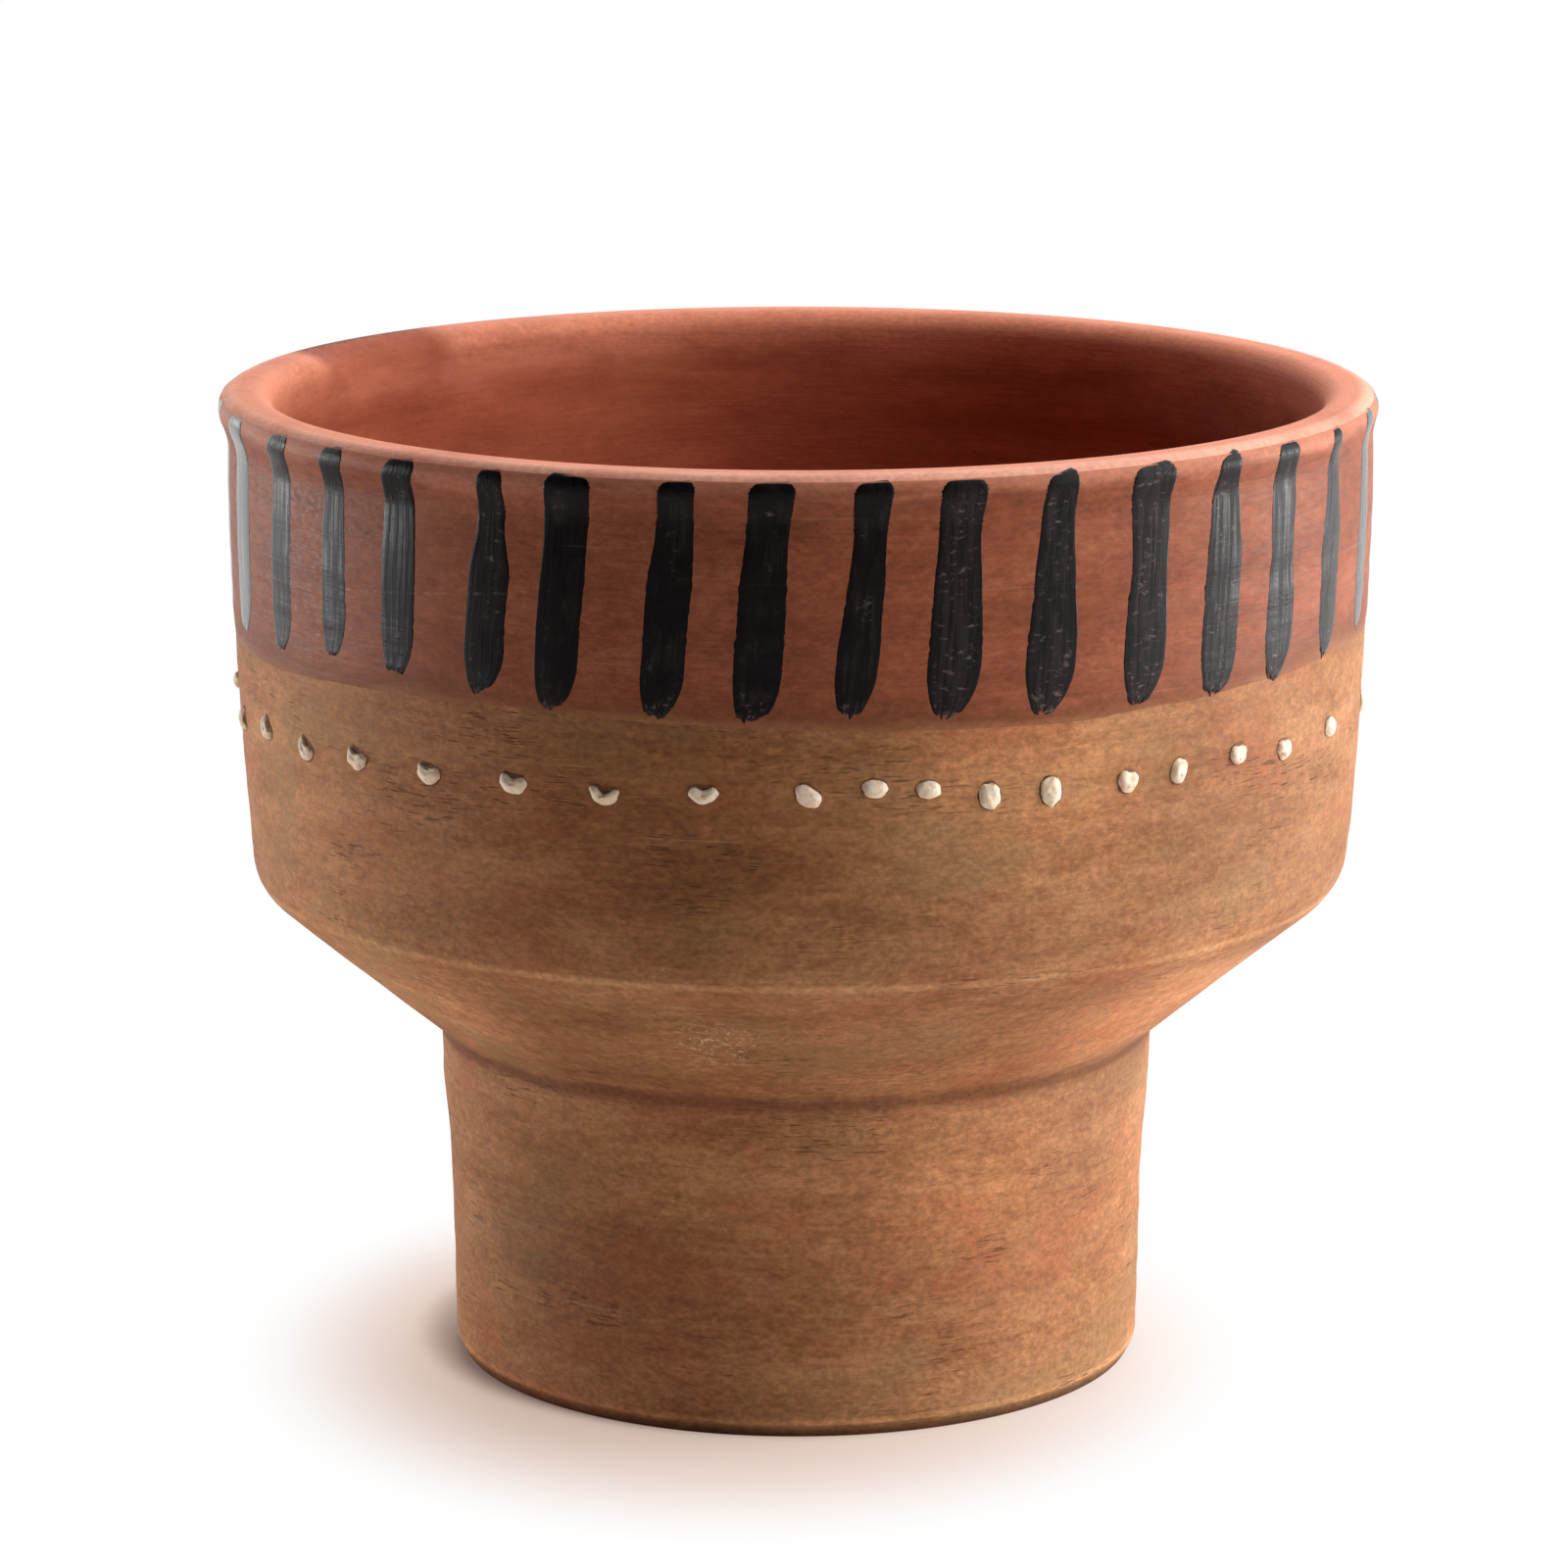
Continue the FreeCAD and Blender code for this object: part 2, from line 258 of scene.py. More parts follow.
def bareClay():
    look = bareLook
    material, shader, where = newMaterial("bareClay")
    marks, clay = surfaceOf(where)
    tone = blended([(marks["Streaks"], 0.45), (clay["Blotches"], 0.3), (clay["Mottle"], 0.25)])
    inside = ramp(tone, [(0.38, look["deep"]), (0.5, look["plain"]), (0.62, look["warm"])])
    rubbed = ramp(tone, [(0.40, look["lipDeep"]), (0.52, look["lip"])])
    height = partOf(where, "Z")
    flat = vectorSum("MULTIPLY", where, (1, 1, 0))
    radius = vectorSum("LENGTH", flat, output="Value")
    turn = vectorSum("DOT_PRODUCT", vectorSum("NORMALIZE", flat), look["dentSide"], "Value")
    dented = times(window(turn, *look["dentTurn"]), window(height, *look["dentRise"]))
    sound = sums("SUBTRACT", 1.0, dented)
    level = nudged(height, clay["Blotches"], look["paleWaver"])
    pale = times(window(level, *look["paleRise"]), sound)
    colour = mixed(pale, inside, rubbed)
    rounded = times(window(radius, *look["edgeRadius"]), window(height, *look["edgeRise"]))
    worn = times(rounded, window(clay["Blotches"], 0.30, 0.60, *look["edgeWear"]))
    colour = tinted(times(worn, sound), colour, look["lipEdge"])
    outlined = times(times(rounded, dented), look["dentOutline"])
    colour = tinted(outlined, colour, look["dark"])
    colour = mixed(pale, colour, shaded(colour, window(clay["Grain"], 0.30, 0.70, 0.90, 1.10)))
    outside = times(window(height, *look["chipRise"]), window(radius, *look["chipRadius"]))
    chips = times(window(clay["Mottle"], *look["chipSize"]), outside)
    colour = tinted(times(chips, look["chips"]), colour, look["chip"])
    colour = tinted(times(clay["Pits"], 0.5), colour, look["dark"])
    dressed(shader, colour, clay["Grain"], look)
    relief(shader, [(marks["Lines"], 0.35), (clay["Grain"], 0.2), (clay["Pits"], -0.5)], look["relief"])
    return material


# Clay under the tan-brown wash: wall, underside and foot

stainLook = {
    "umber": (0.300, 0.122, 0.049),
    "brown": (0.375, 0.160, 0.067),
    "tan": (0.455, 0.208, 0.092),
    "ochre": (0.525, 0.258, 0.119),
    "olive": (0.350, 0.192, 0.084),
    "red": (0.430, 0.152, 0.066),
    "dark": (0.075, 0.028, 0.014),
    "pale": (0.74, 0.54, 0.36),
    # worn: the pale line on the shoulder's arris, partly rubbed wear, partly painted highlight
    "worn": (0.70, 0.375, 0.175),
    # crease: wash gathered in the corner over the foot, with painted shade of the corner
    "crease": (0.185, 0.066, 0.028),
    "hues": (20, 20, 34),  # patches of olive and red, per metre
    "footRise": (0.004, 0.030), "waver": (0.0, 0.004), "patchWaver": 0.03,
    "arrisRise": (0.1116, 0.1127), "arrisFall": (0.1143, 0.1131), "arrisWearAndHighlight": (0.30, 0.62),
    "creaseRise": (0.0738, 0.0764), "creaseFall": (0.0800, 0.0770), "creaseDepth": 0.72,
    "fleckPlace": (-17, -98, 101), "fleckReach": (0.016, 0.005), "flecks": 0.85,
    "roughness": (0.56, 0.76), "specular": 0.16,
    "relief": 0.00045,
}
# How the colour darkens or pales with height: the wash's own changes, painted shade in the foot's bottom bevel
# over clay the wash missed, a painted highlight along the bevel's upper edge, and gathered wash with painted shade
# in the crease over the foot. Height in millimetres, factor
washAndShadeZones = [(0, 0.20), (0.8, 0.34), (1.9, 0.60), (2.6, 0.72), (3.1, 1.60), (3.9, 1.50), (4.7, 1.08),
              (12, 1.05), (30, 0.98), (60, 1.05), (71, 1.0), (75.0, 0.90), (76.8, 0.84), (79.0, 0.94),
              (84, 1.0), (97, 1.04), (106, 0.94), (111.6, 0.98), (114.2, 0.98), (119, 0.90), (128, 0.95),
              (145, 1.0), (165, 0.98), (172, 0.9)]
# Painted light and shade on the wash: patches made lighter where light falls on the underside's sides and the left
# of the wall, and darker where the front-left of the wall and the left of the foot lie in shade; centre and reach
# in millimetres, then the change of colour
lightAndShadePatches = [((-30, -122, 158), 62, (0.76, 0.70, 0.60)), ((-112, -54, 140), 54, (1.22, 1.20, 1.17)),
               ((-84, -66, 101), 40, (1.50, 1.50, 1.50)), ((82, -66, 99), 44, (1.50, 1.50, 1.50)),
               ((-50, -58, 36), 44, (0.80, 0.76, 0.70)), ((36, -70, 62), 30, (1.18, 1.16, 1.14)),
               ((82, -96, 146), 26, (0.89, 0.89, 0.90)), ((106, -68, 132), 48, (0.87, 0.88, 0.89)),
               ((68, -44, 64), 30, (0.83, 0.84, 0.86)), ((46, -116, 164), 42, (1.30, 1.27, 1.24)),
               ((-50, -86, 94), 32, (0.86, 0.86, 0.87)), ((74, -24, 42), 24, (1.14, 1.14, 1.14)),
               ((44, -68, 75), 18, (0.87, 0.87, 0.88))]


def stainedClay():
    look = stainLook
    material, shader, where = newMaterial("stainedClay")
    marks, clay = surfaceOf(where)
    tone = blended([(marks["Streaks"], 0.42), (clay["Blotches"], 0.24), (clay["Mottle"], 0.34)])
    stops = [(0.39, look["umber"]), (0.46, look["brown"]), (0.53, look["tan"]), (0.63, look["ochre"])]
    colour = ramp(tone, stops)
    hue = cloud(stretched(where, look["hues"], (0.4, 0.8, 0.1)), 1.0, 4.0, 0.6)
    colour = tinted(window(hue, 0.52, 0.66, 0.0, 0.7), colour, look["olive"])
    colour = tinted(window(hue, 0.48, 0.34, 0.0, 0.7), colour, look["red"])
    colour = tinted(window(marks["Lines"], 0.50, 0.30, 0.0, 0.42), colour, look["umber"])
    height = partOf(where, "Z")
    level = nudged(height, clay["Blotches"], window(height, *look["footRise"], *look["waver"]))
    # the wash by height, with the painted shade and highlight of the bevel and the painted shade of the crease
    colour = shaded(colour, zones(level, washAndShadeZones))
    # patches of painted light and shade
    for centre, reach, change in lightAndShadePatches:
        gap = nudged(awayFrom(where, centre), clay["Blotches"], look["patchWaver"])
        near = window(gap, reach * mm, reach * 0.25 * mm)
        colour = mixed(near, colour, vectorSum("MULTIPLY", colour, change))
    # a pale line along the shoulder's arris: partly rubbed wear, partly a painted highlight on the edge
    worn = window(clay["Blotches"], 0.36, 0.62, *look["arrisWearAndHighlight"])
    arris = between(height, look["arrisRise"], look["arrisFall"])
    colour = tinted(times(arris, worn), colour, look["worn"])
    # the crease over the foot darkened red-brown: partly gathered wash, partly painted shade of the corner
    crease = between(level, look["creaseRise"], look["creaseFall"])
    colour = tinted(times(crease, look["creaseDepth"]), colour, look["crease"])
    colour = mottled(colour, clay, 0.06, 0.17)
    colour = tinted(times(marks["Scratches"], 0.5), colour, look["dark"])
    colour = tinted(times(clay["Pits"], 0.55), colour, look["dark"])
    colour = tinted(times(clay["Specks"], 0.5), colour, look["pale"])
    close = window(awayFrom(where, look["fleckPlace"]), *look["fleckReach"])
    spill = times(close, window(cloud(where, 900, 1.0), 0.60, 0.68))
    colour = tinted(times(spill, look["flecks"]), colour, look["pale"])
    colour = tinted(times(marks["Scores"], 0.17), colour, look["pale"])
    dressed(shader, colour, clay["Grain"], look)
    relief(shader, [(marks["Lines"], 0.35), (clay["Grain"], 0.3), (clay["Mottle"], 0.25),
                    (clay["Pits"], -0.6), (marks["Scratches"], -0.5)], look["relief"])
    return material


# Red-brown slip of the band, with a slight sheen; it thins out at its lower edge and is rubbed
# where it meets the lip. Its fades are measured up from the lower edge.

bandLook = {
    "deep": (0.215, 0.059, 0.028),
    "plain": (0.300, 0.085, 0.039),
    "warm": (0.375, 0.117, 0.055),
    "edge": (0.200, 0.070, 0.027),
    "thin": (0.350, 0.150, 0.064),
    "rubbed": (0.56, 0.21, 0.125),
    "dark": (0.050, 0.016, 0.011),
    "pale": (0.60, 0.38, 0.28),
    "waver": 0.012,
    "edgeFade": (0.0075, 0.0010), "thinFade": (0.0024, -0.0010), "rubbedRise": (0.0472, 0.0514),
    "roughness": (0.42, 0.60), "specular": 0.14,
    "relief": 0.00030,
}
# A scratch that runs slanting over the left of the band: it passes through across and level, and goes
# from one end to the other, in metres
scratch = {"level": 0.1893, "across": -0.111, "slope": 0.125, "half": 0.00028, "from": -0.121, "to": -0.040,
           "fadeIn": 0.006, "fadeOut": 0.02, "front": (-0.02, -0.04)}


def longScratch(where, breaks):
    s = scratch
    across = partOf(where, "X")
    line = sums("MULTIPLY_ADD", sums("SUBTRACT", across, s["across"]), s["slope"])
    line.node.inputs[2].default_value = s["level"]
    off = sums("ABSOLUTE", sums("SUBTRACT", partOf(where, "Z"), line))
    reach = between(across, (s["from"], s["from"] + s["fadeIn"]), (s["to"], s["to"] - s["fadeOut"]))
    reach = times(reach, window(partOf(where, "Y"), *s["front"]))
    reach = times(reach, window(breaks, 0.47, 0.60))
    return times(reach, window(off, s["half"] * 1.6, s["half"] * 0.5))


def bandSlip():
    look = bandLook
    material, shader, where = newMaterial("bandSlip")
    marks, clay = surfaceOf(where)
    fromEdge = partOf(put("ShaderNodeUVMap", uv_map="brushRun").outputs[0], "Y")
    tone = blended([(marks["Streaks"], 0.38), (clay["Blotches"], 0.26), (clay["Mottle"], 0.36)])
    colour = ramp(tone, [(0.39, look["deep"]), (0.5, look["plain"]), (0.60, look["warm"])])
    colour = tinted(window(marks["Lines"], 0.48, 0.28, 0.0, 0.5), colour, look["deep"])
    ragged = nudged(fromEdge, marks["Streaks"], look["waver"])
    for fade, share, tint in ((look["edgeFade"], 0.60, "edge"), (look["thinFade"], 0.85, "thin"),
                              (look["rubbedRise"], 0.80, "rubbed")):
        colour = tinted(window(ragged, *fade, 0.0, share), colour, look[tint])
    colour = mottled(colour, clay, 0.05, 0.11)
    colour = tinted(times(clay["Pits"], 0.5), colour, look["dark"])
    colour = tinted(times(clay["Specks"], 0.25), colour, look["pale"])
    scored = sums("MAXIMUM", marks["Scores"], longScratch(where, clay["Mottle"]))
    colour = tinted(times(scored, 0.24), colour, look["pale"])
    dressed(shader, colour, clay["Grain"], look)
    relief(shader, [(marks["Lines"], 0.45), (clay["Grain"], 0.12), (clay["Pits"], -0.4)], look["relief"])
    return material


# Black brushwork: the brush drags along the stroke, skips over the wheel lines and splits at the tip.
# side is 0 along the middle of a stroke and 1 at its edges, and wear says how dry the brush was.

paintLook = {
    "black": (0.0062, 0.0050, 0.0050),
    "worn": (0.028, 0.021, 0.021),
    "chalk": (0.24, 0.175, 0.150),
    "thin": (0.095, 0.036, 0.022),
    "hairs": (900, 60, 1), "skips": (400, 400, 880), "ticks": (1100, 330, 1), "patches": (190, 120, 1),
    "middle": (0.92, 0.50), "edge": (0.90, 1.01), "tickFade": (0.1815, 0.1745),
    "roughness": (0.46, 0.24), "specular": 0.12,  # roughness where the brush was wet, then along its hairs
    "glaze": 0.8, "glazeTurn": (0.60, 0.80), "glazeRoughness": 0.16,
    "relief": 0.00018,
}


def blackPaint():
    look = paintLook
    material, shader, where = newMaterial("blackPaint")
    marks, clay = surfaceOf(where)
    run = put("ShaderNodeUVMap", uv_map="brushRun").outputs[0]
    wear = put("ShaderNodeAttribute", attribute_name="wear").outputs["Fac"]
    side = put("ShaderNodeAttribute", attribute_name="side").outputs["Fac"]
    hairs = cloud(stretched(run, look["hairs"]), 1.0, 3.0, 0.6)
    skips = cloud(stretched(where, look["skips"]), 1.0, 4.0, 0.7)
    ticks = cloud(stretched(run, look["ticks"], (0.4, 0.2, 0)), 1.0, 2.0, 0.6)
    patch = cloud(stretched(run, look["patches"]), 1.0, 4.0, 0.62)
    middle = window(side, *look["middle"])
    rubbed = nudged(patch, wear, 0.30)
    dry = times(window(hairs, 0.36, 0.62), window(rubbed, 0.38, 0.62))
    dry = times(dry, middle)
    colour = mixed(dry, (*look["black"], 1), (*look["worn"], 1))
    broken = times(window(skips, 0.56, 0.68), window(rubbed, 0.46, 0.66))
    low = window(partOf(run, "Y"), *look["tickFade"])
    split = times(times(window(ticks, 0.58, 0.70), low), window(wear, 0.1, 0.7))
    broken = sums("MAXIMUM", times(broken, middle), split)
    colour = tinted(times(broken, 0.55), colour, look["chalk"])
    scored = sums("MAXIMUM", times(marks["Scores"], 0.4), longScratch(where, clay["Mottle"]))
    colour = tinted(times(scored, 0.40), colour, look["chalk"])
    edge = nudged(side, clay["Mottle"], 0.2)
    colour = tinted(window(edge, *look["edge"], 0.0, 0.75), colour, look["thin"])
    facing = put("ShaderNodeLayerWeight").outputs["Facing"]
    glaze = window(facing, *look["glazeTurn"], 0.0, look["glaze"])
    roughness = window(hairs, 0.42, 0.64, *look["roughness"])
    fill(shader, {"Base Color": colour, "Roughness": roughness, "Specular IOR Level": look["specular"],
                  "Coat Weight": glaze, "Coat Roughness": look["glazeRoughness"]})
    relief(shader, [(marks["Lines"], 0.3), (hairs, 0.6), (clay["Grain"], 0.1)], look["relief"])
    return material


# White clay of the pellets, and the dark ring round them: partly wash that ran in, partly painted shade in the gap
# at their edge

pelletLook = {
    "cream": (0.99, 0.72, 0.46),
    "white": (0.99, 0.85, 0.68),
    "smudge": (0.52, 0.33, 0.19),
    "soft": 700, "smudges": 950,  # patterns per metre
    "roughness": 0.62, "specular": 0.25,
    "relief": 0.00030,
}
ringLook = {"deep": (0.150, 0.062, 0.028), "roughness": 0.75, "relief": 0.00030}


def whiteClay():
    look = pelletLook
    material, shader, where = newMaterial("whiteClay")
    clay = surfaceOf(where)[1]
    soft = cloud(where, look["soft"], 3.0, 0.6)
    colour = ramp(soft, [(0.38, look["cream"]), (0.6, look["white"])])
    smudge = cloud(stretched(where, (1, 1, 1), (0.3, 0.2, 0.1)), look["smudges"], 2.0)
    colour = tinted(window(smudge, 0.57, 0.72, 0.0, 0.65), colour, look["smudge"])
    fill(shader, {"Base Color": colour, "Roughness": look["roughness"], "Specular IOR Level": look["specular"]})
    relief(shader, [(soft, 0.7), (clay["Grain"], 0.4)], look["relief"])
    return material


# the dark ring round each pellet: partly wash, partly painted shade
def washAndShadeRing():
    look = ringLook
    material, shader, where = newMaterial("washAndShadeRing")
    clay = surfaceOf(where)[1]
    worn = window(clay["Mottle"], 0.40, 0.66, 0.0, 0.7)
    colour = mixed(worn, (*look["deep"], 1), (*stainLook["umber"], 1))
    fill(shader, {"Base Color": colour, "Roughness": look["roughness"]})
    relief(shader, [(clay["Grain"], 1.0)], look["relief"])
    return material


bareMaterial = bareClay()
stainMaterial = stainedClay()
bandMaterial = bandSlip()
paintMaterial = blackPaint()
pelletMaterial = whiteClay()
ringMaterial = washAndShadeRing()
print("materials made")


# Turned pieces. A corner is radius, height, how far its rounding reaches along both sides, and
# the spacing of the rows that follow it, all in millimetres.


def clamped(value):
    return min(1.0, max(0.0, value))


def rise(value, start, reach):
    return clamped((value - start) / reach)


def fall(value, end, reach):
    return clamped((end - value) / reach)


def flatOf(point):  # the distance from the axis
    return math.hypot(point.x, point.y)


def pushOut(vert, push):
    share = 1 + push / flatOf(vert.co)
    vert.co.x *= share
    vert.co.y *= share


def profileOf(corners):
    bm = bmesh.new()
    points = [bm.verts.new((radius * mm, 0, height * mm)) for radius, height, reach, spacing in corners]
    for pair in zip(points, points[1:] + points[:1]):
        bm.edges.new(pair)
    for point, (radius, height, reach, spacing) in zip(points, corners):
        if reach:
            bmesh.ops.bevel(bm, geom=[point], offset=reach * mm, offset_type="OFFSET", profile=0.5,
                            segments=max(3, round(reach * 1.4)), affect="VERTICES", material=-1)
    for side in bm.edges[:]:
        middle = (side.verts[0].co + side.verts[1].co) / 2
        spacing = nearestSpacing(corners, middle)
        cuts = int(side.calc_length() / (spacing * mm))
        if cuts:
            bmesh.ops.subdivide_edges(bm, edges=[side], cuts=cuts)
    return bm


def nearestSpacing(corners, middle):
    best, spacing = 1e9, 1.0
    for start, end in zip(corners, corners[1:] + corners[:1]):
        a = Vector((start[0] * mm, 0, start[1] * mm))
        b = Vector((end[0] * mm, 0, end[1] * mm))
        share = clamped((middle - a).dot(b - a) / (b - a).length_squared)
        gap = (a + (b - a) * share - middle).length
        if gap < best:
            best, spacing = gap, start[3]
    return spacing


def orderedRows(bm, start):
    # The closed profile as a list of (radius, height) in metres, from the row nearest to start
    number = bm.verts.layers.int.new("row")
    first = min(bm.verts, key=lambda v: (v.co - Vector((start[0] * mm, 0, start[1] * mm))).length)
    towards = min((e.other_vert(first) for e in first.link_edges), key=lambda v: -v.co.z)
    rows, before, here = [first], first, towards
    while here is not first:
        rows.append(here)
        onwards = [e.other_vert(here) for e in here.link_edges if e.other_vert(here) is not before]
        before, here = here, onwards[0]
    for index, row in enumerate(rows):
        row[number] = index
    return [(row.co.x, row.co.z) for row in rows]


def spun(bm, steps):
    bmesh.ops.spin(bm, geom=bm.verts[:] + bm.edges[:], cent=(0, 0, 0), axis=(0, 0, 1), dvec=(0, 0, 0),
                   angle=math.tau, steps=steps, use_merge=True, use_duplicate=False)
    bmesh.ops.recalc_face_normals(bm, faces=bm.faces[:])


def angleOf(point):  # in degrees from the front, positive to the right
    return math.degrees(math.atan2(point.x, -point.y))


def wrapMap(bm, rows, folds, share):
    # A map for the surface: round the pot across, along the profile up, in a number of strips.
    # share(radius, height) widens the rows that matter more.
    runs, total = [], 0.0
    for (r0, z0), (r1, z1) in zip(rows, rows[1:] + rows[:1]):
        runs.append(total)
        total += math.hypot(r1 - r0, z1 - z0) * share((r0 + r1) / 2, (z0 + z1) / 2)
    number = bm.verts.layers.int["row"]
    layer = bm.loops.layers.uv.new("OFBake")
    for face in bm.faces:
        centre = face.calc_center_median()
        turn = (angleOf(centre) / 360) % 1
        places = []
        for loop in face.loops:
            co = loop.vert.co
            across = (angleOf(co) / 360) % 1
            across += round(turn - across)
            places.append([across, runs[loop.vert[number]]])
        if max(p[1] for p in places) - min(p[1] for p in places) > total / 2:
            for place in places:
                place[1] += total if place[1] == 0 else 0
        strip = int(turn * folds)
        for loop, (across, up) in zip(face.loops, places):
            loop[layer].uv = (0.004 + 0.992 * (across * folds - strip), (strip + 0.01 + 0.98 * up / total) / folds)


def finished(name, bm, materials, nodes):
    mesh = bpy.data.meshes.new(name)
    bm.to_mesh(mesh)
    bm.free()
    for material in materials:
        mesh.materials.append(material)
    mesh.shade_smooth()
    piece = bpy.data.objects.new(name, mesh)
    bpy.context.scene.collection.objects.link(piece)
    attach(piece, "root")
    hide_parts(*nodes)
    return piece


# Hand of the potter. A wave is how quick it runs round the pot and upward, where its pattern starts,
# and its depth in millimetres. Calm places are in metres: where the hand stops, and how gradually.

hand = {
    "outer": [(0.7, 0.16, 0.0, 0.16), (1.5, 0.42, 3.0, 0.07), (1.2, 0.010, 7.0, 0.45)],
    "inner": [(0.8, 0.11, 5.0, 0.45), (2.0, 0.35, 9.0, 0.08)],
    "foot": [(0.6, 0.17, 11.0, 0.16), (1.4, 0.45, 13.0, 0.07), (1.0, 0.012, 17.0, 0.35)],
    "joint": [(2.5, 0.5, 19.0, 0.10)], "rim": [(2.0, 1, 2.0, 0.05)], "bandEdge": [(6.0, 1, 23.0, 0.5)],
    "strokeTop": [(40, 1, 29.0, 0.3)], "strokeTip": [(30, 1, 31.0, 0.5)],
    "rimCalm": (0.212, 0.02), "rimShare": 0.15, "creaseCalm": (0.0772, 0.004),
    "mouthCalm": (0.2165, 0.012), "standCalm": (0.0, 0.006), "footTopCalm": (0.0766, 0.005),
    "slide": 1.0, "slideRise": (0.100, 0.025), "slideFall": (0.217, 0.006),  # the bowl against the foot
}
rim = {"lift": 0.09, "liftAngle": -140.0, "liftRise": (0.2170, 0.004), "dentInside": (0.1275, 0.0095),
       "dentAngle": -124.0, "dentWidth": 11.5, "dentDrop": 4.2, "dentRise": (0.2060, 0.014)}


def around(angle, height, wide, tall, start):
    turn = math.radians(angle)
    return noise.noise(Vector((math.cos(turn) * wide + start, math.sin(turn) * wide - start, height / mm * tall)))


def waves(name, angle, height=0):
    return sum(around(angle, height, wide, tall, start) * depth for wide, tall, start, depth in hand[name])


def offAxis(angle, height):  # the foot sits a little to one side of the bowl
    share = rise(height, *hand["slideRise"])
    slide = hand["slide"] * share * share * (3 - 2 * share) - hand["slide"] / 2
    return slide * fall(height, *hand["slideFall"]) * math.sin(math.radians(angle))


def outerHand(angle, height):
    ease = fall(height, *hand["rimCalm"]) * (1 - hand["rimShare"]) + hand["rimShare"]
    ease *= rise(height, *hand["creaseCalm"])
    return (waves("outer", angle, height) * ease + offAxis(angle, height)) * mm


def innerHand(angle, height):
    return waves("inner", angle, height) * fall(height, *hand["mouthCalm"]) * mm


def footHand(angle, height):
    ease = rise(height, *hand["standCalm"]) * fall(height, *hand["footTopCalm"])
    return (waves("foot", angle, height) * ease + offAxis(angle, height)) * mm


def rimDent(angle, height):  # where the soft rim was leant on before it dried
    return rise(height, *rim["dentRise"]) * math.exp(-((angle - rim["dentAngle"]) / rim["dentWidth"]) ** 4)


def rimLift(angle, height, radius):  # the dent leaves the outer edge of the rim as it is
    lift = rim["lift"] * math.cos(math.radians(angle - rim["liftAngle"])) + waves("rim", angle)
    inside = fall(radius, *rim["dentInside"])
    dent = rimDent(angle, height) * rim["dentDrop"] * inside * inside * (3 - 2 * inside)
    return (rise(height, *rim["liftRise"]) * lift - dent) * mm


# Bowl

bowl = {
    "steps": 320, "bottom": 77.2, "rim": 222.85, "coatTop": 220.0, "underFloor": 5,  # in millimetres
    "skin": 0.002, "bandBottom": 0.172, "still": 0.020, "mapShare": 2.2,  # in metres, and a share
}
bowlCorners = [
    (81.4, bowl["bottom"], 0, 1.1),  # crease over the foot
    (124.15, 112.9, 4.2, 1.1),  # shoulder
    (126.35, 139.0, 11.0, 1.1), (127.8, 171.0, 10.0, 2.2),  # wall
    (128.5, 202.0, 5.0, 1.6), (128.2, 213.4, 1.8, 0.9),  # neck and flare
    (129.75, 218.1, 0.9, 0.8), (129.75, bowl["rim"], 3.5, 1.2), (117.9, bowl["rim"], 4.6, 1.5),  # lip
    (117.4, 200.0, 8.0, 2.6), (113.7, 117.4, 13.0, 3.6),  # inside
    (79.0, 88.2, 12.0, 6.0),  # floor
    (8.0, 87.8, 1.5, 4.0), (8.0, bowl["bottom"], 0, 8.0),  # drain
]
bowlProfile = profileOf(bowlCorners)
bowlRows = orderedRows(bowlProfile, bowlCorners[0])
topRow = max(range(len(bowlRows)), key=lambda i: (bowlRows[i][1], bowlRows[i][0]))
outerRows = sorted((z, r) for r, z in bowlRows[:topRow + 1])
outerHeights = [z for z, r in outerRows]


def wallAt(height):  # the bare wall's outer radius, in metres
    place = min(max(bisect.bisect(outerHeights, height), 1), len(outerRows) - 1)
    (z0, r0), (z1, r1) = outerRows[place - 1], outerRows[place]
    return r0 + (r1 - r0) * rise(height, z0, max(1e-9, z1 - z0))


def onWall(angle, height, proud):
    # A point in front of the wall, which follows the potter's unevenness
    radius = wallAt(height) + outerHand(angle, height) + proud
    turn = math.radians(angle)
    return Vector((math.sin(turn) * radius, -math.cos(turn) * radius, height + rimLift(angle, height, radius)))


def bowlShare(radius, height):  # the stained outside gets more of the map
    return bowl["mapShare"] if height < bowl["bandBottom"] and radius > wallAt(height) - bowl["skin"] else 1.0


def makeBowl():
    b = bowl
    bm = bowlProfile
    spun(bm, b["steps"])
    number = bm.verts.layers.int["row"]
    wrapMap(bm, bowlRows, 1, bowlShare)
    for face in bm.faces:
        centre = face.calc_center_median()
        outer = flatOf(centre) > wallAt(centre.z) - b["skin"]
        face.material_index = 1 if outer and b["bottom"] * mm + 1e-5 < centre.z < b["coatTop"] * mm else 0
    for vert in bm.verts:
        angle, height, flat = angleOf(vert.co), vert.co.z, flatOf(vert.co)
        if flat < b["still"]:
            continue
        if vert[number] <= topRow:
            pushOut(vert, outerHand(angle, height))
        elif height > (b["bottom"] + b["underFloor"]) * mm:
            pushOut(vert, innerHand(angle, height))
        vert.co.z += rimLift(angle, height, flat)
    return finished("bowl", bm, [bareMaterial, stainMaterial], ["bowl"])


bowlPiece = makeBowl()
print("bowl thrown:", len(bowlPiece.data.polygons), "faces")

# Foot

foot = {"steps": 256, "topRadius": 81.35, "top": 76.6, "hollowRadius": 69.0,
        "skin": 0.0765, "stainFrom": 0.0768, "stainHeights": (0.0003, 0.0765),  # in metres
        "mapFrom": 0.0772, "mapShare": 2.5}


def footShare(radius, height):
    return foot["mapShare"] if radius > foot["mapFrom"] else 1.0


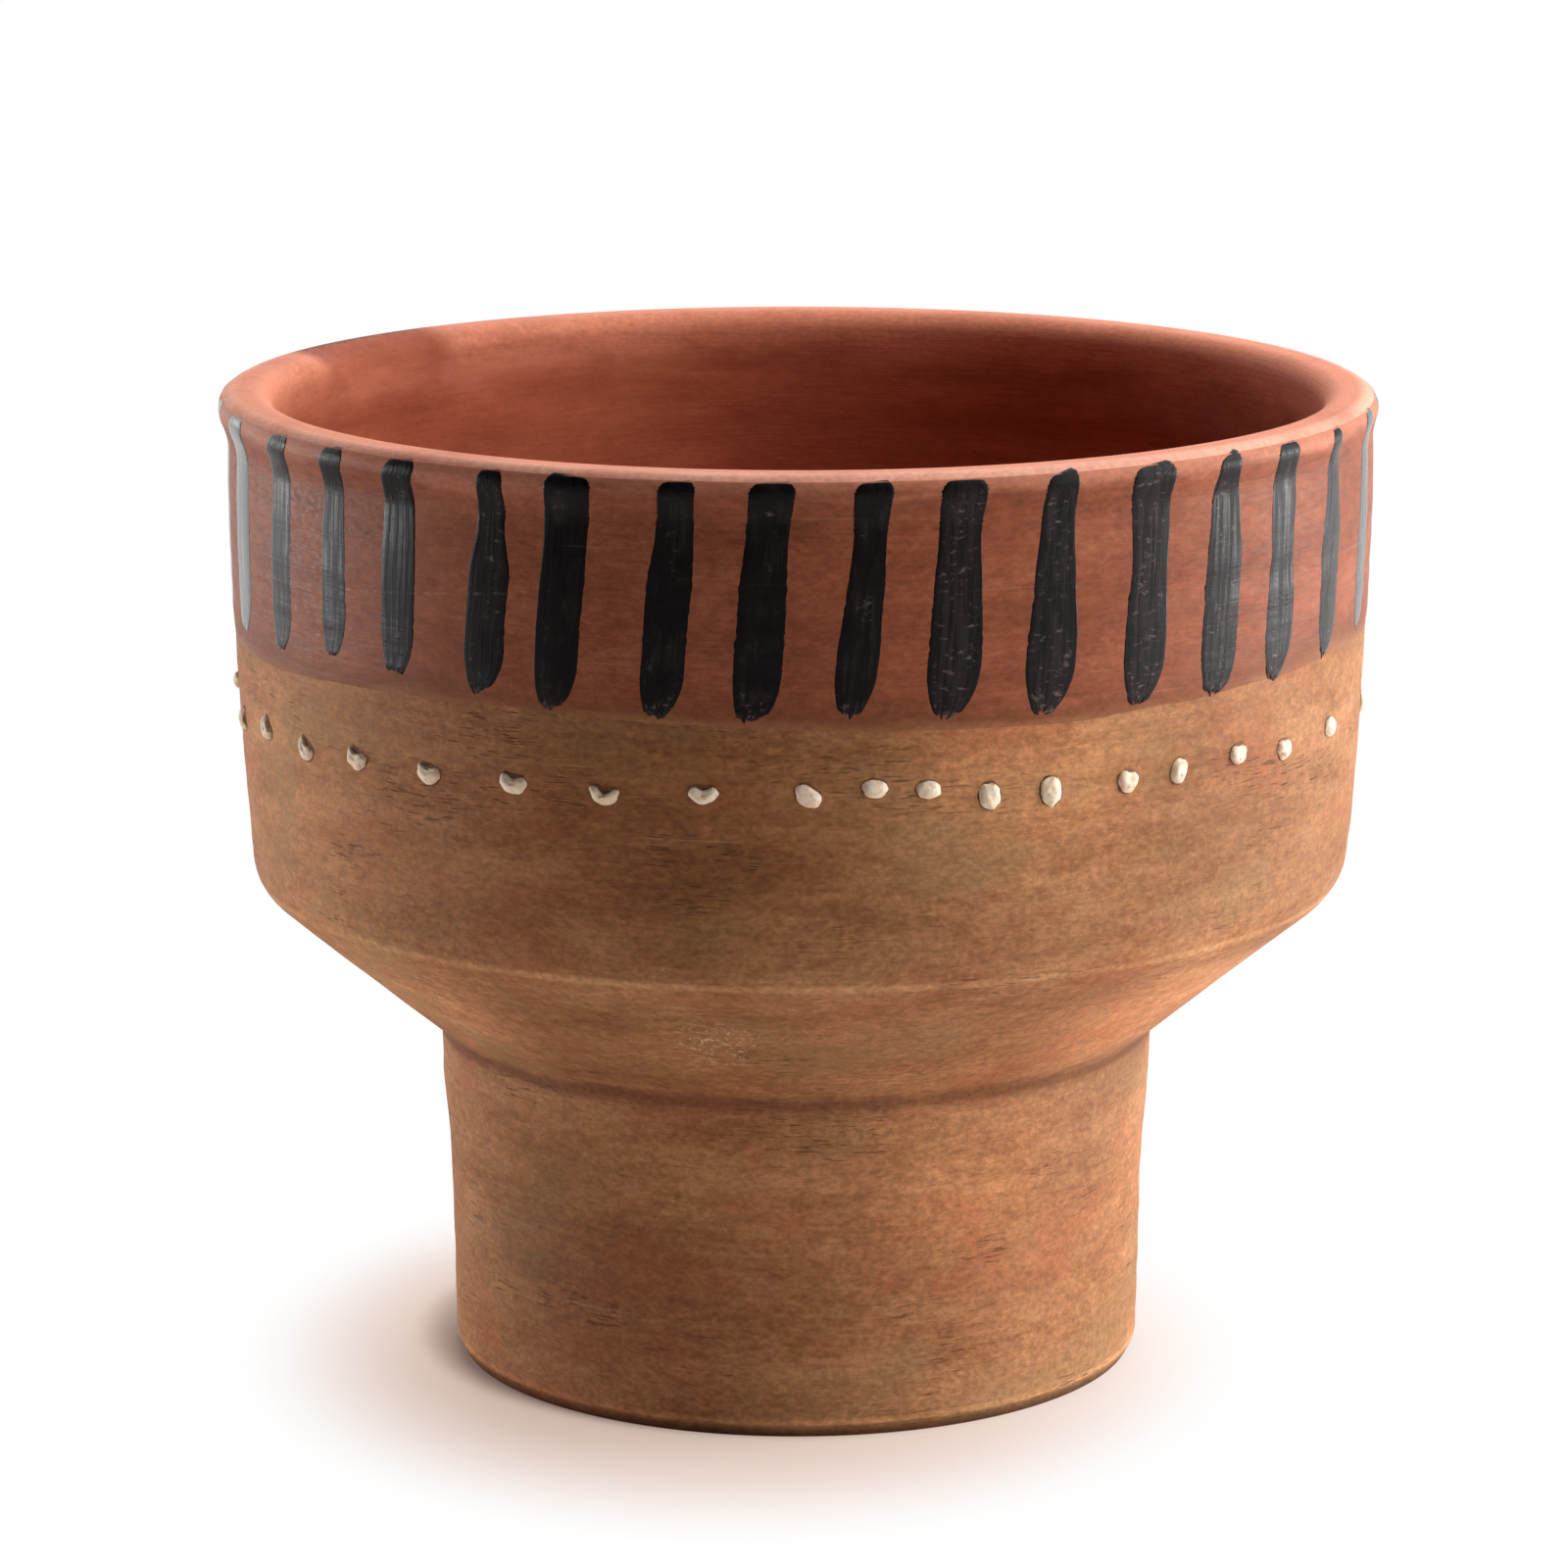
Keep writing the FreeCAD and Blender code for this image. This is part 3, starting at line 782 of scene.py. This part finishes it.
def makeFoot():
    f = foot
    corners = [
        (77.1, 0.0, 0.4, 0.9), (78.6, 3.0, 0.7, 1.1),  # standing ring and its bevel
        (79.0, 21.0, 7.0, 1.1), (79.3, 45.0, 9.0, 1.1), (81.0, 63.5, 6.0, 1.1),
        (f["topRadius"], f["top"], 0.3, 4.0), (f["hollowRadius"], f["top"], 0, 5.0),
        (f["hollowRadius"], 0.0, 1.2, 4.0),
    ]
    bm = profileOf(corners)
    rows = orderedRows(bm, (f["topRadius"], f["top"]))
    spun(bm, f["steps"])
    wrapMap(bm, rows, 1, footShare)
    low, high = f["stainHeights"]
    for face in bm.faces:
        centre = face.calc_center_median()
        face.material_index = 0 if flatOf(centre) > f["stainFrom"] and low < centre.z < high else 1
    for vert in bm.verts:
        if flatOf(vert.co) > f["skin"]:
            pushOut(vert, footHand(angleOf(vert.co), vert.co.z))
    return finished("foot", bm, [stainMaterial, bareMaterial], ["foot"])


footPiece = makeFoot()
print("foot thrown:", len(footPiece.data.polygons), "faces")

# Slip that lutes the two together, wiped into the corner

joint = {"steps": 192, "face": 81.8, "rounding": 1.9, "foot": 3.0, "cone": 3.2, "lap": 0.5,  # in millimetres
         "inner": 70.0, "inset": 0.8, "gap": 0.05, "skin": 0.079}  # the skin is in metres


def makeJoint():
    j = joint
    low, high = foot["top"] + j["gap"], bowl["bottom"] - j["gap"]
    corners = [
        (foot["topRadius"] - j["lap"], foot["top"] - j["foot"], 0, 0.4),
        (j["face"], (low + high) / 2, j["rounding"], 0.4),
        (bowlCorners[0][0] + j["cone"], bowl["bottom"] + j["cone"], 0, 2.0),
        (foot["topRadius"] - j["inset"], high, 0, 5.0), (j["inner"], high, 0, 5.0),
        (j["inner"], low, 0, 5.0), (foot["topRadius"] - j["inset"], low, 0, 2.0),
    ]
    bm = profileOf(corners)
    spun(bm, j["steps"])
    for vert in bm.verts:
        if flatOf(vert.co) > j["skin"]:
            angle, height = angleOf(vert.co), vert.co.z
            pushOut(vert, (waves("joint", angle, height) + offAxis(angle, height)) * mm)
    return finished("slipJoint", bm, [stainMaterial], ["slip_joint"])


makeJoint()
print("joint wiped")

# Band of red-brown slip

band = {"thick": 0.22, "buried": 0.35, "top": 221.5, "bottom": 169.8, "wave": 1.25, "waves": 4, "dip": 17.0,
        "outer": 129.0, "inner": 128.0, "steps": 320,
        "thinEdge": 0.25, "thinReach": 0.004, "mapFrom": 0.1289, "mapShare": 0.15}


def bandEdge(angle):  # the lower edge, in metres
    wave = band["bottom"] - band["wave"] * math.cos(math.radians(band["waves"] * (angle - band["dip"])))
    return (wave + waves("bandEdge", angle)) * mm


def bandShare(radius, height):  # the buried side gets little of the map
    return 1.0 if radius > band["mapFrom"] else band["mapShare"]


def makeBand():
    k = band
    corners = [(k["outer"], k["bottom"], 0.12, 0.9), (k["outer"], k["top"], 0.12, 0.4),
               (k["inner"], k["top"], 0, 8.0), (k["inner"], k["bottom"], 0, 0.4)]
    bm = profileOf(corners)
    rows = orderedRows(bm, (k["outer"], k["bottom"]))
    spun(bm, k["steps"])
    wrapMap(bm, rows, 4, bandShare)
    layer = bm.loops.layers.uv.new("brushRun")
    for face in bm.faces:
        for loop in face.loops:
            co = loop.vert.co
            loop[layer].uv = (co.x, co.z - k["bottom"] * mm)
    for vert in bm.verts:
        angle = angleOf(vert.co)
        edge = bandEdge(angle)
        share = (vert.co.z - k["bottom"] * mm) / ((k["top"] - k["bottom"]) * mm)
        height = edge + (k["top"] * mm - edge) * share
        depth = (flatOf(vert.co) - k["inner"] * mm) / mm  # 1 on the outside, 0 on the buried side
        thin = min(1.0, k["thinEdge"] + (height - edge) / k["thinReach"])
        vert.co = onWall(angle, height, (k["thick"] * thin * depth - k["buried"] * (1 - depth)) * mm)
    return finished("slipBand", bm, [bandMaterial], ["slip_band"])


bandPiece = makeBand()
print("band brushed:", len(bandPiece.data.polygons), "faces")

# Brush strokes, left to right as seen: angle, lean to the right at the top, widths at the top, at
# two places below it and near the tip, height of the tip, slant of the top, wear

strokes = {"count": 37, "sway": 1.2, "across": 14, "along": 48, "gather": 0.1,
           "top": 221.5, "tip": 10.0, "blunt": 0.22, "crown": 2.8, "crownLeast": 0.52, "leave": 0.30,
           "film": 0.10, "pool": 0.06, "tipPool": 0.02, "sunk": 0.04, "buried": 0.20,
           "swell": (1.08, 1.07, 1.09, 1.13),  # of the four widths, for what the taper takes away
           "waver": (0.34, 0.10, 0.45), "bristles": 1.7,
           "hookReach": 3.6,  # how far down the brush was set right of its path, and how far right
           "hooks": {-82.6: 0.9, -72.2: 0.9, -60.6: 2.0, -50.4: 0.9, -41.0: 1.8}}
frontStrokes = [
    (-82.6, 2.0, 8.8, 9.0, 9.6, 9.4, 174.0, 0.3, 0.3), (-72.2, 2.0, 11.2, 11.4, 12.2, 11.8, 173.6, 0.3, 0.3),
    (-60.6, 2.2, 9.2, 9.0, 9.8, 9.4, 173.4, 0.6, 0.35), (-50.4, 2.2, 7.8, 7.4, 8.6, 8.2, 175.6, 0.4, 0.3),
    (-41.0, 1.6, 8.6, 9.0, 9.9, 9.2, 174.9, 0.3, 0.3), (-30.2, 3.4, 6.0, 6.9, 10.3, 9.5, 173.3, 0.3, 0.6),
    (-22.4, 4.4, 10.2, 10.1, 10.2, 9.7, 172.1, -0.5, 0.2), (-12.0, 4.3, 7.8, 8.3, 9.8, 9.2, 171.9, 0.3, 0.35),
    (-3.2, 4.0, 9.5, 9.0, 9.9, 9.8, 171.5, 0.1, 0.35), (6.0, 4.0, 8.1, 6.9, 8.0, 8.6, 172.4, 0.5, 0.3),
    (14.8, 2.3, 9.8, 9.3, 10.4, 11.0, 171.6, 0.1, 0.95), (24.4, 2.0, 7.4, 8.1, 9.7, 11.0, 171.5, 1.2, 0.75),
    (34.5, 2.0, 11.0, 10.3, 9.5, 10.3, 170.9, 0.8, 0.95), (44.1, 1.8, 6.8, 9.1, 11.1, 10.6, 170.7, 1.5, 0.6),
    (53.3, 1.8, 8.2, 9.4, 8.8, 10.2, 170.8, 0.2, 0.35), (63.6, 1.6, 4.8, 6.8, 10.0, 9.0, 171.8, 0.2, 0.45),
    (75.0, 2.2, 8.0, 8.4, 9.8, 9.4, 173.6, 0.4, 0.35), (85.0, 2.0, 9.2, 9.0, 9.6, 9.4, 173.0, 0.3, 0.3),
]


def fullRing(front, count, sway):
    # The front as seen, then the back in the same shapes, taken in another order
    spread = count - len(front)
    gap = (360 + front[0][0] - front[-1][0]) / (spread + 1)
    back = []
    for step in range(spread):
        angle = front[-1][0] + gap * (step + 1) + sway * math.sin(step * step)
        back.append((angle, *front[(7 * step + 3) % len(front)][1:]))
    return front + back


def widthAlong(height, top, upper, middle, lower):
    # Smoothly through the widths at four heights, in millimetres
    places = [(185, lower), (198, middle), (210, upper), (219, top)]
    if height <= 185:
        return lower
    for (z0, w0), (z1, w1) in zip(places, places[1:]):
        if height <= z1:
            blend = (height - z0) / (z1 - z0)
            return w0 + (w1 - w0) * blend * blend * (3 - 2 * blend)
    return top


def addStroke(bm, index, angle, lean, topWidth, upper, middle, lower, tip, slant, wear):
    s = strokes
    layer = bm.loops.layers.uv["brushRun"]
    worn, sides = bm.verts.layers.float["wear"], bm.verts.layers.float["side"]
    grid = bmesh.ops.create_grid(bm, x_segments=s["across"], y_segments=s["along"], size=0.5)
    top = s["top"] + waves("strokeTop", angle)
    blunt = s["blunt"] + abs(waves("strokeTip", angle))
    hook = s["hooks"].get(angle, 0.0)
    seed = index * 3.7
    widths = [width * more for width, more in zip((topWidth, upper, middle, lower), s["swell"])]
    flat = {vert: (vert.co.x * 2, vert.co.y + 0.5) for vert in grid["verts"]}
    for face in {face for vert in grid["verts"] for face in vert.link_faces}:
        for loop in face.loops:
            side, run = flat[loop.vert]
            loop[layer].uv = ((side * middle / 2 + 20 * index) * mm, (tip + (top - tip) * run) * mm)
    for vert, (side, even) in flat.items():
        run = even - s["gather"] * math.sin(math.tau * even)  # rows gather at both ends
        fromTip, fromTop = run * (top - tip), (1 - run) * (top - tip)
        level = tip + fromTip
        full = widthAlong(level, *widths) / 2
        point = min(1.0, (fromTip + 0.10) / s["tip"])
        taper = blunt + (1 - blunt) * (1 - (1 - point) ** 2) ** 0.80
        taper *= min(1.0, 0.45 + fromTip / 0.9)
        crown = min(1.0, (fromTop + 0.05) / max(1.2, s["crown"] - 0.4 * side + slant * (0.35 - 0.75 * side)))
        half = full * taper
        half *= s["crownLeast"] + (1 - s["crownLeast"]) * math.sqrt(1 - (1 - crown) ** 2)
        broad, fine, drift = s["waver"]
        wave = noise.noise(Vector((seed, level * 0.10, side * 2))) * broad
        wave += noise.noise(Vector((seed, level * 0.5, side * 3))) * fine
        centre = lean * (run - 0.5) + noise.noise(Vector((seed + 9, run * 2.2, 0))) * drift
        centre -= s["leave"] * (full - full * taper)  # the brush leaves the wall on its left side
        centre += hook * math.exp(-((fromTop / s["hookReach"]) ** 2))
        across = centre + side * (half + wave * min(1.0, point * crown * 1.3))
        bristle = noise.noise(Vector((seed, side * 3.4, 5.0))) * s["bristles"] * math.exp(-((fromTip / 1.6) ** 2))
        height = (level + bristle + slant * side * 0.5 * run ** 8) * mm
        body = 1 - abs(side) ** 6
        pool = s["pool"] * math.exp(-fromTop / 3.0) + s["tipPool"] * math.exp(-fromTip / 3)
        thin = min(1.0, fromTop / 0.8 + 0.1) * min(1.0, fromTip / 1.5 + 0.1)
        proud = (band["thick"] - s["sunk"] + (s["film"] + pool) * body * thin) * mm
        vert.co = onWall(angle + math.degrees(across * mm / wallAt(height)), height, proud)
        vert[sides] = abs(side)
        dry = wear + 0.5 * math.exp(-fromTip / 4) - 0.6 * math.exp(-fromTop / 2.5)
        vert[worn] = dry + 0.2 * math.exp(-((fromTop - 8) / 5) ** 2)


def makeStrokes():
    bm = bmesh.new()
    bm.loops.layers.uv.new("brushRun")
    bm.verts.layers.float.new("wear")
    bm.verts.layers.float.new("side")
    for index, stroke in enumerate(fullRing(frontStrokes, strokes["count"], strokes["sway"])):
        addStroke(bm, index, *stroke)
    back = bmesh.ops.extrude_face_region(bm, geom=bm.faces[:], use_keep_orig=True)["geom"]
    for vert in back:
        if isinstance(vert, bmesh.types.BMVert):
            pushOut(vert, -strokes["buried"] * mm)
    bmesh.ops.recalc_face_normals(bm, faces=bm.faces[:])
    return finished("brushStrokes", bm, [paintMaterial], ["brush_strokes"])


strokePiece = makeStrokes()
print("strokes painted:", len(strokePiece.data.polygons), "faces")

# White pellets: angle, height, width, tallness, depth of the notch, tilt in degrees

pellet = {"count": 40, "sway": 0.9, "proud": 1.45, "lumps": (0.16, 0.05), "furrow": 0.52, "furrowFrom": -0.25,
          "ring": 0.30, "ringProud": 0.10, "ringRough": 0.12, "ringLift": 0.12, "ringFurrow": 0.6}
frontPellets = [
    (-77.2, 151.6, 5.4, 5.0, 1.6, -70), (-66.7, 153.9, 5.6, 5.2, 1.4, -48), (-57.1, 153.2, 5.8, 5.2, 1.3, -28),
    (-48.0, 154.5, 6.0, 5.2, 1.2, -14), (-37.9, 154.5, 6.2, 5.0, 1.1, -10), (-28.0, 155.0, 6.4, 4.9, 1.3, -9),
    (-18.5, 154.5, 6.6, 4.6, 1.8, -7), (-8.9, 155.6, 6.3, 4.5, 1.2, 0), (0.9, 155.4, 6.0, 4.3, 0.0, -34),
    (7.1, 156.8, 5.4, 4.1, 0.1, -6), (12.2, 156.2, 5.2, 4.1, 0.2, -4), (18.2, 154.2, 4.8, 5.9, 0.1, 8),
    (24.4, 154.1, 4.8, 6.5, 0.1, 8), (32.8, 154.4, 4.9, 5.3, 0.6, -10), (39.0, 154.8, 4.2, 5.9, 0.3, -14),
    (47.2, 155.9, 5.0, 4.8, 0.6, 0), (55.0, 154.2, 4.8, 4.9, 0.6, -6), (65.5, 154.8, 4.9, 4.6, 0.4, 0),
    (82.9, 153.0, 5.2, 4.9, 0.4, 0),
]


def pressed(angle, height, tilt, x, y, proud):
    turn = math.radians(tilt)
    across = x * math.cos(turn) - y * math.sin(turn)
    up = x * math.sin(turn) + y * math.cos(turn)
    level = height * mm + up
    return onWall(angle + math.degrees(across / wallAt(level)), level, proud)


def furrowed(depth, x, y):  # how far the notch in the top is pressed down
    return depth * math.exp(-(x / pellet["furrow"]) ** 2) * max(0.0, y - pellet["furrowFrom"])


def makePellet(index, angle, height, wide, tall, notch, tilt):
    p = pellet
    bm = bmesh.new()
    ball = bmesh.ops.create_icosphere(bm, subdivisions=4, radius=1.0)["verts"]
    seed = Vector((index * 1.7, 4.1, -index * 0.9))
    soft, rough = p["lumps"]
    for vert in ball:
        x, y, z = vert.co
        lump = 1 + (noise.noise(vert.co * 1.4 + seed) * soft + noise.noise(vert.co * 4.5 + seed) * rough)
        pull = 1 + (0.16 * y if notch > 0.5 else 0.10 * y)
        dent = 0.35 * min(1.0, notch) * math.exp(-((x * 1.2) ** 2 + (y - 0.35) ** 2) / 0.16)
        out = (z * (1 - dent) * lump if z > 0 else z * 0.25) * p["proud"] * mm
        up = (y * tall / 2 * lump - furrowed(notch, x, y)) * mm
        vert.co = pressed(angle, height, tilt, x * wide / 2 * lump * pull * mm, up, out)
    # the dark ring round the pellet: partly wash, partly painted shade
    halo = bmesh.ops.create_icosphere(bm, subdivisions=3, radius=1.0)["verts"]
    for face in {face for vert in halo for face in vert.link_faces}:
        face.material_index = 1
    for vert in halo:
        x, y, z = vert.co
        rough = 1 + noise.noise(vert.co * 2.5 + seed) * p["ringRough"]
        up = y * (tall / 2 + p["ring"]) * rough - furrowed(notch * p["ringFurrow"], x, y) + p["ringLift"]
        vert.co = pressed(angle, height, tilt, x * (wide / 2 + p["ring"]) * rough * mm, up * mm,
                          z * p["ringProud"] * mm)
    bmesh.ops.recalc_face_normals(bm, faces=bm.faces[:])
    name = f"pellet_{index:02d}"
    return finished(name, bm, [pelletMaterial, ringMaterial], [f"white_pellet_{index:02d}"])


for index, place in enumerate(fullRing(frontPellets, pellet["count"], pellet["sway"]), 1):
    makePellet(index, *place)
print("pellets pressed on")

# Stage: a pale floor that glows into the white backdrop, and lamps on all sides

stage = {"reach": 13.0, "floorColour": (0.88, 0.82, 0.80), "roughness": 0.9,
         "glow": (1.0, 0.77, 0.66), "open": (0.072, 0.143), "lift": 0.51,  # the pot's shade round the foot
         "centre": (0.0156, 0.0086, 0.0), "squeeze": (1.2, 1.0, 1.0),
         "side": (0.006, -0.006, 0.0), "contact": 0.06, "contactReach": (0.0745, 0.0850),
         "behind": (0.42, 0.80), "backdrop": (0.0, 0.5), "ambient": 0.0}


def makeFloor():
    bm = bmesh.new()
    bmesh.ops.create_grid(bm, x_segments=2, y_segments=2, size=stage["reach"])
    mesh = bpy.data.meshes.new("floor")
    bm.to_mesh(mesh)
    bm.free()
    floor = bpy.data.objects.new("floor", mesh)
    bpy.context.scene.collection.objects.link(floor)
    material, shader, where = newMaterial("paleFloor")
    fill(shader, {"Base Color": (*stage["floorColour"], 1), "Roughness": stage["roughness"],
                  "Specular IOR Level": 0.0})
    path = put("ShaderNodeLightPath")
    centred = stretched(where, stage["squeeze"], stage["centre"])
    away = vectorSum("LENGTH", centred, output="Value")
    aside = vectorSum("LENGTH", stretched(where, (1, 1, 1), stage["side"]), output="Value")
    # near the pot the glow is tinted warm and darker: a painted warm shade round the foot, over the floor's
    # rendered shadow
    glow = mixed(window(away, *stage["open"]), (*stage["glow"], 1), (1, 1, 1, 1))
    white = put("ShaderNodeEmission", {"Color": glow, "Strength": 1.0})
    share = window(away, *stage["open"], stage["lift"], 1.0)
    share = times(share, window(aside, *stage["contactReach"], stage["contact"], 1.0))
    seen = times(path.outputs["Is Camera Ray"], share)
    mirrored = times(path.outputs["Is Glossy Ray"], window(partOf(where, "Y"), *stage["behind"]))
    seen = sums("MAXIMUM", seen, mirrored)
    mixer = put("ShaderNodeMixShader", {0: seen, 1: shader.outputs[0], 2: white.outputs[0]})
    fill(desk["tree"].nodes["Material Output"], {"Surface": mixer.outputs[0]})
    mesh.materials.append(material)


def makeWorld():
    world = bpy.data.worlds.new("studio")
    bpy.context.scene.world = world
    world.use_nodes = True
    desk["tree"] = world.node_tree
    plain = world.node_tree.nodes["Background"]
    fill(plain, {"Color": (1, 1, 1, 1), "Strength": stage["ambient"]})
    white = put("ShaderNodeBackground", {"Color": (1, 1, 1, 1), "Strength": 1.0})
    path = put("ShaderNodeLightPath")
    side = partOf(put("ShaderNodeTexCoord").outputs["Generated"], "Y")
    mirrored = times(path.outputs["Is Glossy Ray"], window(side, *stage["backdrop"]))
    seen = sums("MAXIMUM", path.outputs["Is Camera Ray"], path.outputs["Is Transmission Ray"])
    seen = sums("MAXIMUM", seen, mirrored)
    mixer = put("ShaderNodeMixShader", {0: seen, 1: plain.outputs[0], 2: white.outputs[0]})
    fill(world.node_tree.nodes["World Output"], {"Surface": mixer.outputs[0]})


def addLamp(name, place, aim, wide, tall, watts):
    data = bpy.data.lights.new(name, "AREA")
    data.shape = "RECTANGLE"
    data.size, data.size_y = wide, tall
    data.energy = watts
    lamp = bpy.data.objects.new(name, data)
    lamp.location = place
    lamp.rotation_euler = (Vector((0, 0, aim)) - Vector(place)).to_track_quat("-Z", "Y").to_euler()
    bpy.context.scene.collection.objects.link(lamp)


makeFloor()
makeWorld()
addLamp("sideKey", (1.25, 0.0, 1.05), 0.13, 0.9, 0.9, 14.5)
addLamp("sideLow", (1.5, 0.15, 0.35), 0.11, 0.8, 0.7, 5.0)
addLamp("frontRight", (1.3, -0.75, 0.6), 0.12, 0.8, 0.9, 6.6)
addLamp("backLeft", (-1.2, 0.9, 0.5), 0.12, 0.8, 0.9, 5.5)
addLamp("backHigh", (0.1, 1.4, 1.1), 0.15, 1.2, 0.8, 10.8)
addLamp("tableRight", (1.1, 0.15, 0.08), 0.10, 0.9, 0.14, 5.6)
addLamp("tableLeft", (-1.1, 0.15, 0.08), 0.10, 0.9, 0.14, 5.0)
addLamp("topSoft", (0.15, 0.1, 0.95), 0.2, 0.6, 0.6, 3.8)

camera = {"distance": 1.344, "height": 0.422, "pitch": 12.24, "lens": 138.4, "across": 814.5, "frame": 1600}
lensData = bpy.data.cameras.new("camera")
lensData.lens = camera["lens"]
lensData.sensor_width = 36
lensData.shift_x = -(camera["across"] - camera["frame"] / 2) / camera["frame"]
eye = bpy.data.objects.new("camera", lensData)
eye.location = (0, -camera["distance"], camera["height"])
eye.rotation_euler = (math.radians(90 - camera["pitch"]), 0, 0)
bpy.context.scene.collection.objects.link(eye)
bpy.context.scene.camera = eye
bpy.context.scene.view_settings.view_transform = "Standard"

print("stage set")
